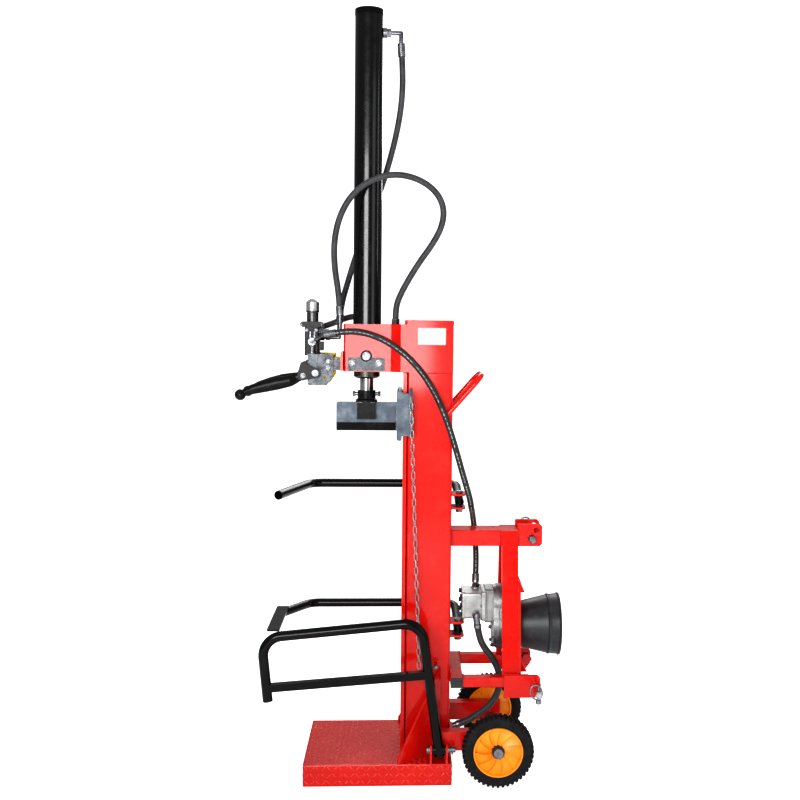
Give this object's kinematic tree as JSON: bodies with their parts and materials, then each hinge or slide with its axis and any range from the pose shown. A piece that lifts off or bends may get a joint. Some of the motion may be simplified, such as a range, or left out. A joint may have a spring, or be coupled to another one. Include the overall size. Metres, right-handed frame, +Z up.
{
  "type": "log splitter",
  "caption": "Upright tractor-driven hydraulic log splitter: a blade slides down a steel column onto a plate base, with log arms, log lifter and hitch frame.",
  "frame": {"origin": "on the ground, below the middle of the machine's bounding box", "axes": "+Z up the column, +X from the operator's levers towards the tractor, +Y to the machine's far side"},
  "size_m": [1.07, 0.48, 2.497],
  "materials": {
    "red_paint": "gloss red enamel",
    "black_paint": "gloss black enamel",
    "blade_steel": "scaled blue-grey steel plate",
    "zinc_plate": "zinc-plated steel",
    "bright_steel": "bright turned steel",
    "rod_chrome": "hard-chromed rod",
    "cast_aluminium": "cast aluminium",
    "black_rubber": "black hose rubber",
    "tyre_rubber": "black tread rubber",
    "yellow_plastic": "yellow-orange moulded plastic",
    "black_plastic": "black moulded plastic",
    "lever_iron": "black-coated forging",
    "bearing_bronze": "bronze wear pads"
  },
  "bodies": {
    "frame": {"axle": "bright_steel", "axle_beams": "red_paint", "base_gussets": "red_paint", "base_plate": "red_paint", "carry_handle": "red_paint", "column_cap": "red_paint", "column_flange": "red_paint", "column_tube": "red_paint", "cross_hose": "black_rubber", "cylinder_cap": "black_paint", "cylinder_gland": "black_paint", "cylinder_hose": "black_rubber", "cylinder_tube": "black_paint", "gearbox_bearings": "bright_steel", "gearbox_housing": "cast_aluminium", "gearbox_plate": "red_paint", "head_bracket": "red_paint", "hitch_beam": "red_paint", "hitch_pins": "red_paint", "hitch_uprights": "red_paint", "hydraulic_fittings": "zinc_plate", "lock_plates": "zinc_plate", "lower_frame": "red_paint", "pivot_brackets": "red_paint", "pivot_pins": "zinc_plate", "pressure_hose": "black_rubber", "pto_guard": "black_plastic", "pump_body": "cast_aluminium", "pump_bolts": "black_plastic", "return_hose": "black_rubber", "socket_screws": "zinc_plate", "suction_hose": "black_rubber", "top_link_and_linch_pins": "zinc_plate", "top_link_cheeks": "red_paint", "trunnion_pins": "bright_steel", "tube_end_caps": "black_plastic", "valve_body": "black_paint", "valve_bracket": "zinc_plate", "valve_cap": "bright_steel"},
    "ram": {"ram_rod": "rod_chrome", "piston": "bright_steel", "rod_coupling": "black_paint", "coupling_bolt": "zinc_plate", "splitting_blade": "blade_steel", "blade_slider": "blade_steel", "slider_pads": "bearing_bronze", "lift_chain": "zinc_plate"},
    "wheel_near": {"tyre_near": "tyre_rubber", "rim_near": "yellow_plastic"},
    "wheel_far": {"tyre_far": "tyre_rubber", "rim_far": "yellow_plastic"},
    "drive_shaft": {"pto_shaft": "bright_steel", "drive_gear": "bright_steel"},
    "pump_drive": {"pump_gear": "bright_steel"},
    "spool": {"valve_spool": "bright_steel"},
    "lever_n": {"lever_near": "lever_iron"},
    "lever_f": {"lever_far": "lever_iron"},
    "upper_arm": {"arm_upper": "black_paint"},
    "middle_arm": {"arm_middle": "black_paint"},
    "lifter": {"lifter_frame": "black_paint"}
  },
  "joints": [
    {"name": "ram_slide", "type": "slide", "parent": "frame", "child": "ram", "axis": [0, 0, -1], "range_m": [0, 1], "deforming": ["lift_chain"]},
    {"name": "wheel_near_spin", "type": "hinge", "parent": "frame", "child": "wheel_near", "pos_m": [0.319, -0.198, 0.115], "axis": [0, 1, 0], "continuous": true},
    {"name": "wheel_far_spin", "type": "hinge", "parent": "frame", "child": "wheel_far", "pos_m": [0.319, 0.198, 0.115], "axis": [0, 1, 0], "continuous": true},
    {"name": "drive_spin", "type": "hinge", "parent": "frame", "child": "drive_shaft", "pos_m": [0.344, 0, 0.469], "axis": [1, 0, 0], "continuous": true},
    {"name": "pump_spin", "type": "hinge", "parent": "frame", "child": "pump_drive", "pos_m": [0.344, 0, 0.5415], "axis": [1, 0, 0], "continuous": true},
    {"name": "lever_near_turn", "type": "hinge", "parent": "frame", "child": "lever_n", "pos_m": [-0.277, -0.0855, 1.313], "axis": [0, -1, 0], "range_deg": [0, 18], "stiffness_Nm_per_rad": 6, "springref_deg": -20.05},
    {"name": "lever_far_turn", "type": "hinge", "parent": "frame", "child": "lever_f", "pos_m": [-0.277, 0.0855, 1.313], "axis": [0, -1, 0], "range_deg": [0, 18], "stiffness_Nm_per_rad": 6, "springref_deg": -20.05},
    {"name": "spool_slide", "type": "slide", "parent": "frame", "child": "spool", "axis": [0, 0, -1], "range_m": [0, 0.0132]},
    {"name": "upper_arm_swing", "type": "hinge", "parent": "frame", "child": "upper_arm", "pos_m": [0.194, -0.04, 0.891], "axis": [0, 0, 1], "range_deg": [-30, 0]},
    {"name": "middle_arm_swing", "type": "hinge", "parent": "frame", "child": "middle_arm", "pos_m": [0.194, -0.04, 0.465], "axis": [0, 0, 1], "range_deg": [-25, 0]},
    {"name": "lifter_tip", "type": "hinge", "parent": "frame", "child": "lifter", "pos_m": [0.132, -0.18, 0.111], "axis": [1, 0, 0], "range_deg": [0, 102]}
  ],
  "couplings": [
    {"joint": "pump_spin", "follows": "drive_spin", "ratio": -2.8667},
    {"joint": "spool_slide", "follows": "lever_near_turn", "m_per_rad": 0.041}
  ]
}
